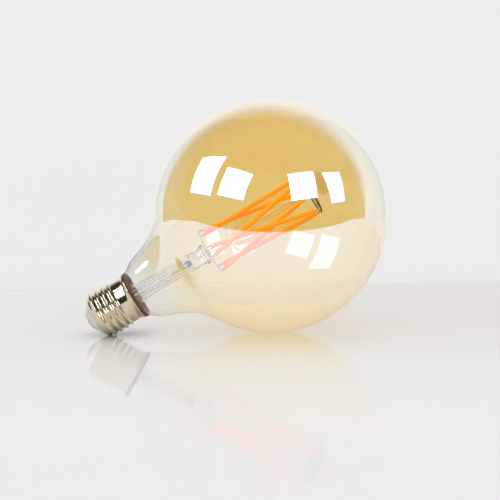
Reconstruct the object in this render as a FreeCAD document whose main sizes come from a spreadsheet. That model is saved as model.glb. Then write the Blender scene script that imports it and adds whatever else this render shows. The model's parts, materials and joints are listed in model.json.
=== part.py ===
import FreeCAD, Part
import math
import os
import Sketcher

# LED filament globe bulb with a screw cap.  Every piece is modelled round its own
# local Z axis: Z = 0 is the rim of the screw cap, +Z runs into the glass globe and
# -Z to the centre contact.  One tilted placement then lays the bulb on its side, so
# the globe and the end of the cap both rest on the plane Z = 0.

DIMS = {
    # lying pose of the whole bulb
    "tilt": 29.44,
    "axis_shift": 18.494,
    # blown glass
    "globe_radius": 62.5,
    "globe_center": 84.5,
    "glass_wall": 0.9,
    "skirt_radius": 11.3,
    "skirt_bottom": -7.0,
    "skirt_top": -0.5,
    "knee_radius": 17.3,
    "knee_level": 7.0,
    "cone_radius": 26.6,
    "cone_level": 32.4,
    "shoulder_round": 32.0,
    "knee_round": 9.0,
    # screw cap
    "shell_wall": 0.35,
    "root_radius": 12.15,
    "crest_radius": 13.1,
    "thread_pitch": 3.629,
    "thread_turns": 3.5,
    "thread_start": -20.3,
    "ridge_half": 1.45,
    "ridge_round": 1.5,
    "rim_radius": 13.3,
    "lip_radius": 9.5,
    "insulator_tip": 5.4,
    "contact_radius": 4.9,
    "contact_level": -26.6,
    "contact_thick": 0.6,
    "solder_radius": 2.3,
    "wire_hole": 0.9,
    # glass stem
    "stem_radius": 4.8,
    "stem_wall": 0.9,
    "stem_solid": 36.0,
    "stem_top": 45.2,
    "stem_head": 5.7,
    "exhaust_radius": 1.7,
    "exhaust_bore": 1.1,
    "exhaust_tip": -8.8,
    "rod_radius": 1.2,
    "bead_radius": 2.0,
    # wires
    "wire_radius": 0.24,
    "wire_offset": 2.8,
    "lower_ring": 12.8,
    "lower_level": 46.6,
    "upper_ring": 11.9,
    "upper_level": 109.6,
    "hoop_wire": 0.4,
    "crossbar_half": 3.1,
    # filaments
    "filament_radius": 1.25,
    "filament_length": 58.5,
    "strip_width": 1.0,
    "strip_thick": 0.4,
    "strip_length": 63.0,
    # driver inside the cap
    "sleeve_radius": 11.3,
    "sleeve_wall": 0.5,
    "sleeve_top": -7.6,
    "sleeve_bottom": -21.2,
    "board_radius": 10.4,
    "board_thick": 0.9,
    "power_level": -20.2,
    "radio_level": -13.0,
    "pin_radius": 0.32,
    "pin_row": 8.6,
    "live_hole": 0.45,
    "live_radius": 0.35,
    "neutral_x": 9.4,
    "antenna_wire": 0.4,
    "antenna_sleeve": 0.9,
    "antenna_cover": 5.0,
    "antenna_top": 28.5,
    # driver parts: centre, half length, half width and height
    "capacitor_x": 5.5,
    "capacitor_radius": 2.5,
    "capacitor_long": 9.0,
    "fuse_x": 1.5,
    "fuse_y": -7.3,
    "fuse_radius": 1.1,
    "fuse_long": 6.0,
    "drum_x": -4.4,
    "drum_y": -3.8,
    "drum_radius": 2.7,
    "drum_tall": 4.4,
    "bridge_x": 0.5,
    "bridge_y": 7.1,
    "bridge_long": 2.0,
    "bridge_wide": 1.8,
    "bridge_tall": 1.6,
    "chip_x": -4.5,
    "chip_y": 3.4,
    "chip_long": 2.45,
    "chip_wide": 1.95,
    "chip_tall": 1.5,
    "dimmer_x": -4.6,
    "dimmer_y": -4.2,
    "dimmer_long": 1.45,
    "dimmer_wide": 0.8,
    "dimmer_tall": 1.1,
    "shield_x": 0.0,
    "shield_y": 6.0,
    "shield_long": 3.6,
    "shield_wide": 2.7,
    "shield_tall": 1.8,
    "shield_wall": 0.2,
    "radio_x": 0.0,
    "radio_y": 6.0,
    "radio_long": 2.0,
    "radio_wide": 2.0,
    "radio_tall": 0.9,
}

LOWER_ANGLE = 266.0
UPPER_ANGLE = 330.0
LOWER_SPREAD = 13.0
UPPER_SPREAD = 8.0
GROUPS = 3
POST_ANGLES = (LOWER_ANGLE - 120.0, LOWER_ANGLE + 120.0, LOWER_ANGLE)
PIN_PLACES = ("-3.81", "-1.27", "1.27", "3.81")

doc = FreeCAD.newDocument("globe_bulb")
sheet = doc.addObject("Spreadsheet::Sheet", "dims")
for row, (alias, value) in enumerate(DIMS.items(), start=1):
    sheet.set(f"A{row}", alias)
    sheet.set(f"B{row}", repr(value))
    sheet.setAlias(f"B{row}", alias)
doc.recompute()

nodes = []


def size(alias):
    """One driving dimension, read back from the sheet."""
    return float(sheet.get(alias))


def bound(text):
    """Turn bare dimension words in an expression into sheet references."""
    words = []
    for word in text.replace("(", "( ").replace(")", " )").split():
        words.append(f"dims.{word}" if word in DIMS else word)
    return " ".join(words)


def evaluate(text):
    """Value of a sum or difference of dimension words and plain numbers."""
    total = 0.0
    sign = 1.0
    for word in text.split():
        if word == "+":
            sign = 1.0
        elif word == "-":
            sign = -1.0
        else:
            total += sign * (size(word) if word in DIMS else float(word))
            sign = 1.0
    return total


def bulb_placement(angle=0.0):
    """Local bulb axis to the lying pose; angle turns a piece about the axis first."""
    tilt = FreeCAD.Rotation(FreeCAD.Vector(0, 1, 0), 90.0 - size("tilt"))
    height = size("globe_radius")
    along = tilt.multVec(FreeCAD.Vector(0, 0, size("globe_center")))
    base = FreeCAD.Vector(size("axis_shift"), 0, height) - along
    turn = FreeCAD.Rotation(FreeCAD.Vector(0, 0, 1), angle)
    return FreeCAD.Placement(base, tilt * turn)


def keep(obj, label, placement):
    """Register one finished piece of the bulb."""
    obj.Label = label
    obj.Placement = placement
    nodes.append(obj)
    return obj


def plane(body, role):
    return [p for p in body.Origin.OriginFeatures if p.Role == role][0]


def new_sketch(body, name, role):
    sketch = body.newObject("Sketcher::SketchObject", name)
    sketch.AttachmentSupport = (plane(body, role), [""])
    sketch.MapMode = "FlatFace"
    return sketch


def pin_point(sketch, geo, end, horizontal, vertical):
    """Hold one sketch point at two distances that follow the sheet."""
    for kind, text in (("DistanceX", horizontal), ("DistanceY", vertical)):
        index = sketch.addConstraint(Sketcher.Constraint(kind, geo, end, evaluate(text)))
        sketch.setExpression(f"Constraints[{index}]", bound(text))


def outline(sketch, points):
    """Closed polygon through points given as pairs of dimension expressions."""
    spots = [FreeCAD.Vector(evaluate(a), evaluate(b), 0) for a, b in points]
    count = len(spots)
    for index in range(count):
        sketch.addGeometry(Part.LineSegment(spots[index], spots[(index + 1) % count]), False)
    for index in range(count):
        sketch.addConstraint(Sketcher.Constraint("Coincident", index, 2, (index + 1) % count, 1))
        pin_point(sketch, index, 1, *points[index])


def circle(sketch, radius, horizontal="0", vertical="0"):
    center = FreeCAD.Vector(evaluate(horizontal), evaluate(vertical), 0)
    geo = sketch.addGeometry(
        Part.Circle(center, FreeCAD.Vector(0, 0, 1), evaluate(radius)), False)
    index = sketch.addConstraint(Sketcher.Constraint("Radius", geo, evaluate(radius)))
    sketch.setExpression(f"Constraints[{index}]", bound(radius))
    pin_point(sketch, geo, 3, horizontal, vertical)


def revolved(name, points):
    """Body turned round the local Z axis from a profile of (radius, level) pairs."""
    body = doc.addObject("PartDesign::Body", name)
    sketch = new_sketch(body, name + "_profile", "XZ_Plane")
    outline(sketch, points)
    turn = body.newObject("PartDesign::Revolution", name + "_turn")
    turn.Profile = sketch
    turn.ReferenceAxis = (sketch, ["V_Axis"])
    turn.Angle = 360.0
    doc.recompute()
    return body


def piped(name, points, radius, plane_role="XZ_Plane"):
    """Round wire swept along an open polyline of (radius, level) pairs."""
    body = doc.addObject("PartDesign::Body", name)
    path = new_sketch(body, name + "_path", plane_role)
    spots = [FreeCAD.Vector(evaluate(a), evaluate(b), 0) for a, b in points]
    for index in range(len(spots) - 1):
        path.addGeometry(Part.LineSegment(spots[index], spots[index + 1]), False)
        pin_point(path, index, 1, *points[index])
        if index:
            path.addConstraint(Sketcher.Constraint("Coincident", index - 1, 2, index, 1))
    pin_point(path, len(spots) - 2, 2, *points[-1])
    section = new_sketch(body, name + "_section", "XY_Plane")
    section.AttachmentOffset = FreeCAD.Placement(
        FreeCAD.Vector(0, 0, spots[0].y), FreeCAD.Rotation())
    section.setExpression("AttachmentOffset.Base.z", bound(points[0][1]))
    circle(section, radius, points[0][0], "0")
    pipe = body.newObject("PartDesign::AdditivePipe", name + "_pipe")
    pipe.Profile = section
    pipe.Spine = (path, [f"Edge{i + 1}" for i in range(len(spots) - 1)])
    pipe.Transition = "Round corner"
    doc.recompute()
    return body


def cylinder(name, radius, height, center=("0", "0"), level="0"):
    solid = doc.addObject("Part::Cylinder", name)
    solid.setExpression("Radius", bound(radius))
    solid.setExpression("Height", bound(height))
    solid.setExpression("Placement.Base.x", bound(center[0]))
    solid.setExpression("Placement.Base.y", bound(center[1]))
    solid.setExpression("Placement.Base.z", bound(level))
    return solid


def cone(name, low_radius, high_radius, low, high):
    solid = doc.addObject("Part::Cone", name)
    solid.setExpression("Radius1", bound(low_radius))
    solid.setExpression("Radius2", bound(high_radius))
    solid.setExpression("Height", f"{bound(high)} - ( {bound(low)} )")
    solid.setExpression("Placement.Base.z", bound(low))
    return solid


def block(name, low, high):
    """Box between two corners, each given as three dimension expressions."""
    solid = doc.addObject("Part::Box", name)
    for axis, side, start, end in zip("xyz", ("Length", "Width", "Height"), low, high):
        solid.setExpression(f"Placement.Base.{axis}", bound(start))
        solid.setExpression(side, f"{bound(end)} - ( {bound(start)} )")
    return solid


def cut(name, base, tool):
    result = doc.addObject("Part::Cut", name)
    result.Base = base
    result.Tool = tool
    doc.recompute()
    return result


def fuse(name, shapes):
    result = doc.addObject("Part::MultiFuse", name)
    result.Shapes = shapes
    doc.recompute()
    return result


def glass_form(name, inset):
    """Solid globe with its neck; inset is 0 for the outside, or the wall."""
    globe = doc.addObject("Part::Sphere", name + "_globe")
    globe.setExpression("Radius", bound(f"globe_radius - {inset}"))
    globe.setExpression("Placement.Base.z", bound("globe_center"))
    neck = cone(name + "_neck", f"knee_radius - {inset}", f"cone_radius - {inset}",
                "knee_level", "cone_level")
    flare = cone(name + "_flare", f"skirt_radius - {inset}", f"knee_radius - {inset}",
                 "skirt_top", "knee_level")
    start = "skirt_bottom" if inset == "0" else "skirt_bottom - 1"
    skirt = cylinder(name + "_skirt", f"skirt_radius - {inset}",
                     f"skirt_top - ( {start} )", level=start)
    form = fuse(name + "_form", [globe, neck, flare, skirt])
    rounded = doc.addObject("Part::Fillet", name + "_round")
    rounded.Base = form
    sign = 1.0 if inset != "0" else 0.0
    wall = size("glass_wall") * sign
    edges = []
    for index, edge in enumerate(form.Shape.Edges, start=1):
        box = edge.BoundBox
        if box.ZLength > 0.01 or box.XLength < 20.0:
            continue
        if abs(box.ZMin - size("knee_level")) < 0.01:
            radius = size("knee_round") - wall
        elif 20.0 < box.ZMin < 40.0:
            radius = size("shoulder_round") + wall
        else:
            continue
        edges.append((index, radius, radius))
    rounded.Edges = edges
    doc.recompute()
    return rounded


def make_glass_envelope():
    outside = glass_form("outer", "0")
    inside = glass_form("inner", "glass_wall")
    return cut("glass_cut", outside, inside)


def make_cap_shell():
    """Thin rolled shell: flared rim, smooth collar, thread, drawn-in end and lip."""
    wall = "shell_wall"
    body = revolved("shell", [
        ("rim_radius", "0"),
        ("rim_radius", "-0.5"),
        ("root_radius + 0.75", "-1.0"),
        ("root_radius", "-1.9"),
        ("root_radius", "-20.9"),
        ("root_radius - 0.45", "-21.9"),
        ("root_radius - 1.35", "-22.8"),
        ("lip_radius + 0.2", "-23.4"),
        ("lip_radius", "-23.2"),
        ("lip_radius", "-22.9"),
        ("root_radius - 1.7", "-22.45"),
        (f"root_radius - {wall} - 0.4", "-21.6"),
        (f"root_radius - {wall}", "-20.8"),
        (f"root_radius - {wall}", "-1.8"),
        ("root_radius + 0.3", "-0.75"),
        ("rim_radius - 0.4", "-0.3"),
        ("rim_radius - 0.2", "0"),
    ])
    ridge = new_sketch(body, "ridge_profile", "XZ_Plane")
    inner = "root_radius - 0.15"
    low = "thread_start - ridge_half"
    high = "thread_start + ridge_half"
    foot = evaluate(inner)
    reach = size("crest_radius")
    middle = size("thread_start")
    ends = [FreeCAD.Vector(foot, evaluate(low), 0), FreeCAD.Vector(foot, evaluate(high), 0)]
    arc = Part.Arc(ends[0], FreeCAD.Vector(reach, middle, 0), ends[1])
    ridge.addGeometry(arc, False)
    ridge.addGeometry(Part.LineSegment(ends[1], ends[0]), False)
    ridge.addConstraint(Sketcher.Constraint("Coincident", 0, 2, 1, 1))
    ridge.addConstraint(Sketcher.Constraint("Coincident", 1, 2, 0, 1))
    pin_point(ridge, 0, 1, inner, low)
    pin_point(ridge, 0, 2, inner, high)
    index = ridge.addConstraint(Sketcher.Constraint("Radius", 0, size("ridge_round")))
    ridge.setExpression(f"Constraints[{index}]", bound("ridge_round"))
    thread = body.newObject("PartDesign::AdditiveHelix", "thread")
    thread.Profile = ridge
    thread.ReferenceAxis = (ridge, ["V_Axis"])
    thread.Mode = "pitch-turns-angle"
    thread.setExpression("Pitch", bound("thread_pitch"))
    thread.setExpression("Turns", bound("thread_turns"))
    doc.recompute()
    return body


def make_insulator():
    return revolved("insulator", [
        ("wire_hole", "-21.5"),
        ("root_radius - 1.9", "-21.5"),
        ("root_radius - 1.9", "-22.4"),
        ("lip_radius", "-22.75"),
        ("lip_radius", "-23.5"),
        ("lip_radius - 0.8", "-24.3"),
        ("insulator_tip + 0.5", "contact_level + 0.5"),
        ("insulator_tip", "contact_level"),
        ("wire_hole", "contact_level"),
    ])


def make_contact():
    body = revolved("contact", [
        ("wire_hole", "contact_level"),
        ("contact_radius", "contact_level"),
        ("contact_radius", "contact_level - 0.3"),
        ("contact_radius - 0.4", "contact_level - contact_thick"),
        ("wire_hole", "contact_level - contact_thick"),
    ])
    return body


def make_solder():
    return revolved("solder", [
        ("0", "contact_level"),
        ("wire_hole", "contact_level"),
        ("wire_hole", "contact_level - contact_thick"),
        ("solder_radius", "contact_level - contact_thick"),
        ("solder_radius - 0.4", "contact_level - contact_thick - 0.4"),
        ("solder_radius - 1.0", "contact_level - contact_thick - 0.8"),
        ("0", "contact_level - contact_thick - 0.8"),
    ])


def make_cement():
    """Ring that bonds the glass skirt into the shell, with a bead above the rim."""
    return revolved("cement", [
        ("skirt_radius", "skirt_bottom + 0.2"),
        ("root_radius - shell_wall", "skirt_bottom + 0.2"),
        ("root_radius - shell_wall", "-1.8"),
        ("root_radius + 0.3", "-0.75"),
        ("root_radius + 0.7", "0.2"),
        ("root_radius + 1.0", "1.0"),
        ("root_radius + 1.25", "1.7"),
        ("root_radius + 1.2", "1.9"),
        ("skirt_radius", "skirt_top"),
    ])


def make_stem():
    """Flared glass tube that closes into a solid head round the wires."""
    wall = "stem_wall"
    return revolved("stem", [
        ("skirt_radius - glass_wall", "skirt_bottom"),
        ("skirt_radius - glass_wall", "skirt_bottom + 0.9"),
        ("stem_radius + 3.2", "-4.4"),
        ("stem_radius + 1.3", "-1.5"),
        ("stem_radius + 0.5", "4"),
        ("stem_radius", "11"),
        ("stem_radius", "stem_solid + 2"),
        ("stem_radius - 0.3", "stem_solid + 4"),
        ("stem_head - 0.5", "stem_top - 2.2"),
        ("stem_head", "stem_top - 0.9"),
        ("stem_head - 0.6", "stem_top"),
        ("0", "stem_top"),
        ("0", "stem_solid"),
        (f"stem_radius - {wall}", "stem_solid"),
        (f"stem_radius - {wall}", "11"),
        (f"stem_radius - {wall} + 0.5", "4"),
        (f"stem_radius - {wall} + 1.2", "-1.7"),
        (f"stem_radius - {wall} + 3", "-5"),
        ("skirt_radius - glass_wall - 1", "skirt_bottom"),
    ])


def make_exhaust_tube():
    return revolved("exhaust", [
        ("0", "exhaust_tip"),
        ("exhaust_radius - 0.7", "exhaust_tip + 0.2"),
        ("exhaust_radius", "exhaust_tip + 1.2"),
        ("exhaust_radius", "stem_solid"),
        ("exhaust_bore", "stem_solid"),
        ("exhaust_bore", "exhaust_tip + 1.7"),
        ("0", "exhaust_tip + 1.2"),
    ])


def make_rod():
    """Solid glass rod with a melted bead that grips the three spokes."""
    return revolved("rod", [
        ("0", "stem_top"),
        ("rod_radius + 0.5", "stem_top"),
        ("rod_radius", "stem_top + 1.2"),
        ("rod_radius", "upper_level - 2"),
        ("bead_radius", "upper_level - 0.9"),
        ("bead_radius", "upper_level + 0.6"),
        ("bead_radius - 0.8", "upper_level + 1.5"),
        ("0", "upper_level + 1.7"),
    ])


def add_crossbar(body, name):
    """Short bar across the outer end of a wire, where two filaments are welded."""
    sketch = new_sketch(body, name + "_bar", "XZ_Plane")
    circle(sketch, "wire_radius", "lower_ring", "lower_level")
    pad = body.newObject("PartDesign::Pad", name + "_bar_pad")
    pad.Profile = sketch
    pad.setExpression("Length", "2 * " + bound("crossbar_half"))
    pad.Midplane = True
    doc.recompute()


def make_post(name, start):
    """Stiff wire that leaves the stem head and carries two filament ends."""
    body = piped(name, [
        ("wire_offset", start),
        ("wire_offset", "stem_top + 0.9"),
        ("lower_ring", "lower_level"),
    ], "wire_radius")
    add_crossbar(body, name)
    return body


def make_spoke(name):
    """Straight wire from the bead of the rod to the hoop."""
    body = doc.addObject("PartDesign::Body", name)
    sketch = new_sketch(body, name + "_section", "YZ_Plane")
    circle(sketch, "wire_radius", "0", "upper_level")
    sketch.AttachmentOffset = FreeCAD.Placement(FreeCAD.Vector(0, 0, 0.9), FreeCAD.Rotation())
    pad = body.newObject("PartDesign::Pad", name + "_pad")
    pad.Profile = sketch
    pad.setExpression("Length", bound("upper_ring - hoop_wire - 0.9"))
    doc.recompute()
    return body


def make_hoop():
    hoop = doc.addObject("Part::Torus", "hoop")
    hoop.setExpression("Radius1", bound("upper_ring"))
    hoop.setExpression("Radius2", bound("hoop_wire"))
    return hoop


def make_filament(name):
    """Round phosphor coat with a flat slot for the chip strip."""
    coat = cylinder(name + "_coat", "filament_radius", "filament_length",
                    level="0 - filament_length / 2")
    slot = doc.addObject("Part::Box", name + "_slot")
    for prop, text in (("Length", "strip_width"), ("Width", "strip_thick"),
                       ("Height", "strip_length"),
                       ("Placement.Base.x", "0 - strip_width / 2"),
                       ("Placement.Base.y", "0 - strip_thick / 2"),
                       ("Placement.Base.z", "0 - strip_length / 2")):
        slot.setExpression(prop, bound(text))
    return cut(name + "_cut", coat, slot)


def make_strip(name):
    """Flat strip that carries the LED chips, with bare ends as pins."""
    body = doc.addObject("PartDesign::Body", name)
    sketch = new_sketch(body, name + "_section", "XY_Plane")
    half_wide = size("strip_width") / 2
    half_thick = size("strip_thick") / 2
    corners = [(-half_wide, -half_thick), (half_wide, -half_thick),
               (half_wide, half_thick), (-half_wide, half_thick)]
    signs = [("0 - ", "0 - "), ("", "0 - "), ("", ""), ("0 - ", "")]
    for index, (x_pos, y_pos) in enumerate(corners):
        after = corners[(index + 1) % 4]
        sketch.addGeometry(Part.LineSegment(
            FreeCAD.Vector(x_pos, y_pos, 0), FreeCAD.Vector(after[0], after[1], 0)), False)
    for index, (sign_x, sign_y) in enumerate(signs):
        sketch.addConstraint(Sketcher.Constraint("Coincident", index, 2, (index + 1) % 4, 1))
        for kind, sign, word, place in (("DistanceX", sign_x, "strip_width", corners[index][0]),
                                        ("DistanceY", sign_y, "strip_thick", corners[index][1])):
            number = sketch.addConstraint(Sketcher.Constraint(kind, index, 1, place))
            sketch.setExpression(f"Constraints[{number}]", f"{sign}dims.{word} / 2")
    pad = body.newObject("PartDesign::Pad", name + "_pad")
    pad.Profile = sketch
    pad.Midplane = True
    pad.setExpression("Length", bound("strip_length"))
    doc.recompute()
    return body


def ring_point(radius, angle, level):
    turn = math.radians(angle)
    return FreeCAD.Vector(radius * math.cos(turn), radius * math.sin(turn), level)


def filament_ends():
    """Lower and upper end of each filament: pairs cross low down and meet high up."""
    ends = []
    for group in range(GROUPS):
        low = LOWER_ANGLE + 120.0 * group
        high = UPPER_ANGLE + 120.0 * group
        for low_angle, high_angle in ((low - LOWER_SPREAD, high - UPPER_SPREAD),
                                      (low + LOWER_SPREAD, high - 120.0 + UPPER_SPREAD)):
            ends.append((
                ring_point(size("lower_ring"), low_angle, size("lower_level") + 0.4),
                ring_point(size("upper_ring"), high_angle, size("upper_level") - 0.5)))
    return ends


def filament_placement(low, high):
    """Middle of the line between two ends, with local Z along it."""
    direction = high.sub(low)
    spin = FreeCAD.Rotation(FreeCAD.Vector(0, 0, 1), direction)
    middle = low.add(high).multiply(0.5)
    return bulb_placement().multiply(FreeCAD.Placement(middle, spin))


def make_sleeve():
    """Insulating cup round the driver, with a hole for the wire to the shell."""
    cup = revolved("sleeve_cup", [
        ("sleeve_radius - sleeve_wall", "sleeve_top"),
        ("sleeve_radius", "sleeve_top"),
        ("sleeve_radius", "sleeve_bottom"),
        ("1.5", "sleeve_bottom"),
        ("1.5", "sleeve_bottom + sleeve_wall"),
        ("sleeve_radius - sleeve_wall", "sleeve_bottom + sleeve_wall"),
    ])
    hole = cylinder("sleeve_hole", "0.5", "4", center=("9.5", "0"), level="-17.5")
    hole.Placement.Rotation = FreeCAD.Rotation(FreeCAD.Vector(0, 1, 0), 90)
    return cut("sleeve_cut", cup, hole)


def padded(name, role, offset, height, draw, midplane=False):
    """Body padded from one sketch, lifted off its plane by an expression."""
    body = doc.addObject("PartDesign::Body", name)
    sketch = new_sketch(body, name + "_outline", role)
    sketch.AttachmentOffset = FreeCAD.Placement(
        FreeCAD.Vector(0, 0, evaluate(offset)), FreeCAD.Rotation())
    sketch.setExpression("AttachmentOffset.Base.z", bound(offset))
    draw(sketch)
    pad = body.newObject("PartDesign::Pad", name + "_pad")
    pad.Profile = sketch
    pad.Midplane = midplane
    pad.setExpression("Length", bound(height))
    doc.recompute()
    return body


def rectangle(sketch, name):
    """Rectangle of a component, from its centre and half sizes in the sheet."""
    left, right = f"{name}_x - {name}_long", f"{name}_x + {name}_long"
    near, far = f"{name}_y - {name}_wide", f"{name}_y + {name}_wide"
    outline(sketch, [(left, near), (right, near), (right, far), (left, far)])


def make_board(name, level, wire_hole):
    """Round circuit board with holes for the link pins and, if given, the live wire."""
    def draw(sketch):
        circle(sketch, "board_radius")
        for place in PIN_PLACES:
            circle(sketch, "pin_radius", "0 - pin_row", place)
        if wire_hole:
            circle(sketch, "live_hole")
    return padded(name, "XY_Plane", level, "board_thick", draw)


def make_component(name, level):
    """Flat block soldered on a board."""
    return padded(name + "_body", "XY_Plane", level, f"{name}_tall",
                  lambda sketch: rectangle(sketch, name))


def make_link_pins():
    low = "power_level - 0.4"
    high = "radio_level + board_thick + 0.5"
    pins = [cylinder(f"pin_{place}", "pin_radius", f"{high} - ( {low} )",
                     center=("0 - pin_row", text), level=low)
            for place, text in enumerate(PIN_PLACES)]
    return fuse("link_pins_set", pins)


def make_shield():
    """Pressed tin lid over the radio chip, open towards the board."""
    left, right = "shield_x - shield_long", "shield_x + shield_long"
    near, far = "shield_y - shield_wide", "shield_y + shield_wide"
    floor = "radio_level + board_thick"
    outer = block("shield_outer", (left, near, floor), (right, far, f"{floor} + shield_tall"))
    inner = block("shield_inner",
                  (f"{left} + shield_wall", f"{near} + shield_wall", f"{floor} - 1"),
                  (f"{right} - shield_wall", f"{far} - shield_wall",
                   f"{floor} + shield_tall - shield_wall"))
    return cut("shield_lid", outer, inner)


def make_capacitor():
    return padded("capacitor_can", "XZ_Plane", "0", "capacitor_long",
                  lambda sketch: circle(sketch, "capacitor_radius", "capacitor_x",
                                        "power_level + board_thick + capacitor_radius"), True)


def make_fuse():
    return padded("fuse_barrel", "YZ_Plane", "fuse_x", "fuse_long",
                  lambda sketch: circle(sketch, "fuse_radius", "fuse_y",
                                        "power_level + board_thick + fuse_radius"), True)


def make_inductor():
    """Ferrite drum: two flanges with the winding between them."""
    body = revolved("inductor_drum", [
        ("0", "power_level + board_thick"),
        ("drum_radius", "power_level + board_thick"),
        ("drum_radius", "power_level + board_thick + 0.8"),
        ("drum_radius - 0.3", "power_level + board_thick + 0.8"),
        ("drum_radius - 0.3", "power_level + board_thick + drum_tall - 0.8"),
        ("drum_radius", "power_level + board_thick + drum_tall - 0.8"),
        ("drum_radius", "power_level + board_thick + drum_tall"),
        ("0", "power_level + board_thick + drum_tall"),
    ])
    return body


def make_stem_with_holes():
    """Stem with the three holes its wires are melted into."""
    holes = []
    for index, (angle, low) in enumerate(zip(POST_ANGLES, ("stem_solid - 1", "stem_solid - 1",
                                                           "stem_solid + 1.5"))):
        turn = math.radians(angle)
        hole = cylinder(f"stem_hole_{index}", "wire_radius", f"stem_top + 1 - ( {low} )", level=low)
        hole.setExpression("Placement.Base.x", f"dims.wire_offset * {math.cos(turn)!r}")
        hole.setExpression("Placement.Base.y", f"dims.wire_offset * {math.sin(turn)!r}")
        holes.append(hole)
    return cut("stem_cut", make_stem(), fuse("stem_holes", holes))


def make_rod_with_holes():
    """Rod whose bead is melted round the inner ends of the three spokes."""
    holes = []
    for group in range(GROUPS):
        hole = cylinder(f"bead_hole_{group}", "wire_radius", "bead_radius", level="upper_level")
        turn = math.radians(UPPER_ANGLE + 120.0 * group)
        hole.setExpression("Placement.Base.x", f"0.9 * {math.cos(turn)!r}")
        hole.setExpression("Placement.Base.y", f"0.9 * {math.sin(turn)!r}")
        flat = FreeCAD.Vector(math.cos(turn), math.sin(turn), 0)
        hole.Placement.Rotation = FreeCAD.Rotation(FreeCAD.Vector(0, 0, 1), flat)
        holes.append(hole)
    return cut("rod_cut", make_rod(), fuse("bead_holes", holes))


def make_antenna_sleeve():
    outer = cylinder("antenna_outer", "antenna_sleeve", "antenna_cover",
                     center=("wire_offset", "0"), level="antenna_top - antenna_cover + 0.5")
    inner = cylinder("antenna_inner", "antenna_wire", "antenna_cover",
                     center=("wire_offset", "0"), level="antenna_top - antenna_cover - 0.5")
    return cut("antenna_cap", outer, inner)


# ---- screw cap ---------------------------------------------------------------
keep(make_cap_shell(), "cap_shell", bulb_placement(180.0))
keep(make_insulator(), "cap_insulator", bulb_placement())
keep(make_contact(), "centre_contact", bulb_placement())
keep(make_solder(), "centre_solder", bulb_placement())
keep(make_cement(), "basing_cement", bulb_placement())

# ---- glass -------------------------------------------------------------------
keep(make_glass_envelope(), "glass_envelope", bulb_placement())
keep(make_stem_with_holes(), "stem_glass", bulb_placement())
keep(make_rod_with_holes(), "support_rod", bulb_placement())
keep(make_exhaust_tube(), "exhaust_tube", bulb_placement())

# ---- wires and posts ---------------------------------------------------------
lead_start = "radio_level + board_thick"
for label, angle, start in (("lead_wire_live", POST_ANGLES[0], lead_start),
                            ("lead_wire_return", POST_ANGLES[1], lead_start),
                            ("lower_post", POST_ANGLES[2], "stem_solid + 1.5")):
    keep(make_post(label + "_wire", start), label, bulb_placement(angle))
for group in range(GROUPS):
    keep(make_spoke(f"spoke_{group}"), f"upper_spoke_{group + 1}",
         bulb_placement(UPPER_ANGLE + 120.0 * group))
hoop_place = FreeCAD.Placement(FreeCAD.Vector(0, 0, size("upper_level")), FreeCAD.Rotation())
keep(make_hoop(), "upper_hoop", bulb_placement().multiply(hoop_place))

# ---- filaments ---------------------------------------------------------------
for number, (low_end, high_end) in enumerate(filament_ends(), start=1):
    where = filament_placement(low_end, high_end)
    keep(make_filament(f"coat_{number}"), f"filament_{number}", where)
    keep(make_strip(f"strip_{number}"), f"filament_strip_{number}", where)

# ---- driver and radio inside the cap -----------------------------------------
on_power = "power_level + board_thick"
on_radio = "radio_level + board_thick"
keep(make_sleeve(), "driver_sleeve", bulb_placement())
keep(make_board("power_disc", "power_level", True), "power_board", bulb_placement())
keep(make_board("radio_disc", "radio_level", False), "radio_board", bulb_placement())
keep(make_link_pins(), "board_pins", bulb_placement())
keep(make_shield(), "radio_shield", bulb_placement())
keep(make_component("radio", on_radio), "radio_chip", bulb_placement())
keep(make_component("dimmer", on_radio), "dimmer_transistor", bulb_placement())
keep(make_component("bridge", on_power), "bridge_rectifier", bulb_placement())
keep(make_component("chip", on_power), "driver_chip", bulb_placement())
keep(make_capacitor(), "storage_capacitor", bulb_placement())
keep(make_fuse(), "fuse_resistor", bulb_placement())
drum_place = FreeCAD.Placement(FreeCAD.Vector(size("drum_x"), size("drum_y"), 0),
                               FreeCAD.Rotation())
keep(make_inductor(), "inductor", bulb_placement().multiply(drum_place))
keep(padded("live_core", "XY_Plane", "contact_level", "power_level - contact_level + 1.4",
            lambda sketch: circle(sketch, "live_radius")), "live_wire", bulb_placement())
keep(piped("neutral_core", [("neutral_x", on_power), ("neutral_x", "-17.5"),
                            ("root_radius - shell_wall", "-17.5")], "wire_radius"),
     "neutral_wire", bulb_placement())
keep(padded("antenna_core", "XY_Plane", on_radio, "antenna_top - radio_level - board_thick",
            lambda sketch: circle(sketch, "antenna_wire", "wire_offset", "0")),
     "antenna_wire", bulb_placement(LOWER_ANGLE))
keep(make_antenna_sleeve(), "antenna_sleeve", bulb_placement(LOWER_ANGLE))

doc.recompute()

# ---- checks and export -------------------------------------------------------
for obj in doc.Objects:
    if {"Invalid", "Error"} & set(obj.State):
        raise RuntimeError(f"{obj.Name} failed: {obj.State}")
os.makedirs("parts", exist_ok=True)
for node in nodes:
    if node.Shape.isNull() or not node.Shape.isValid():
        raise RuntimeError(f"{node.Label} has no valid shape")
    if not node.Shape.Solids or node.Shape.Volume <= 0:
        raise RuntimeError(f"{node.Label} is not a solid")
whole = FreeCAD.BoundBox()
for node in nodes:
    node.Shape.exportStep(os.path.join("parts", node.Label + ".step"))
    whole.add(node.Shape.BoundBox)
    print(f"{node.Label}: {node.Shape.Volume:.1f} mm3, {len(node.Shape.Solids)} solid(s)")
print("whole:", whole)
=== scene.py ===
import json
import math

import bpy
from mathutils import Matrix, Vector, noise


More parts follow.
